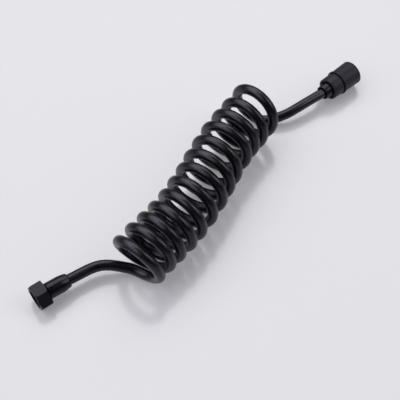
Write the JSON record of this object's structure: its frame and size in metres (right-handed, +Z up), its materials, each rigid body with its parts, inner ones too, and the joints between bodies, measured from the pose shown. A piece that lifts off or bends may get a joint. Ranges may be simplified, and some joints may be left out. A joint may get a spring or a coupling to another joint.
{
  "type": "curly shower hose",
  "caption": "Curly shower hose: a heat-set coil of smooth black tube with a plain tail at each end, a hexagonal union nut at one end and a tapered nut on a swivel at the other",
  "frame": {"origin": "on the floor, midway between the two end fittings along and across the line that joins them", "axes": "+X runs from the wall end to the handset end, +Z is up from the floor that the hose lies on, +Y completes the frame"},
  "size_m": [0.4346, 0.1281, 0.0605],
  "materials": {
    "hose": "satin",
    "nut": "satin",
    "sleeve": "satin",
    "seal": "matt",
    "brass": "machined",
    "steel": "pressed",
    "slip": "smooth"
  },
  "bodies": {
    "hose": {"hose_coil": "hose", "wall_tail": "hose", "handset_tail": "hose", "wall_insert": "brass", "wall_crimp_ferrule": "steel", "wall_sleeve": "sleeve", "handset_insert": "brass", "handset_ferrule": "sleeve", "o_ring_front": "seal", "o_ring_rear": "seal", "thrust_washer": "slip"},
    "hex_nut": {"hex_nut": "nut", "hex_nut_washer": "seal"},
    "swivel": {"swivel_collar": "nut", "swivel_core": "brass", "snap_ring": "steel"},
    "cone_nut": {"cone_nut": "nut", "cone_nut_washer": "seal"}
  },
  "joints": [
    {"name": "hex_nut_turn", "type": "hinge", "parent": "hose", "child": "hex_nut", "pos_m": [-0.20423, -0.00066, 0.01285], "axis": [0.9882, -0.1283, 0.0837], "continuous": true},
    {"name": "hose_swivel", "type": "hinge", "parent": "hose", "child": "swivel", "pos_m": [0.19, 0.0007, 0.0136], "axis": [1, 0, 0], "continuous": true},
    {"name": "cone_nut_turn", "type": "hinge", "parent": "swivel", "child": "cone_nut", "pos_m": [0.205, 0.0007, 0.0136], "axis": [1, 0, 0], "continuous": true}
  ]
}
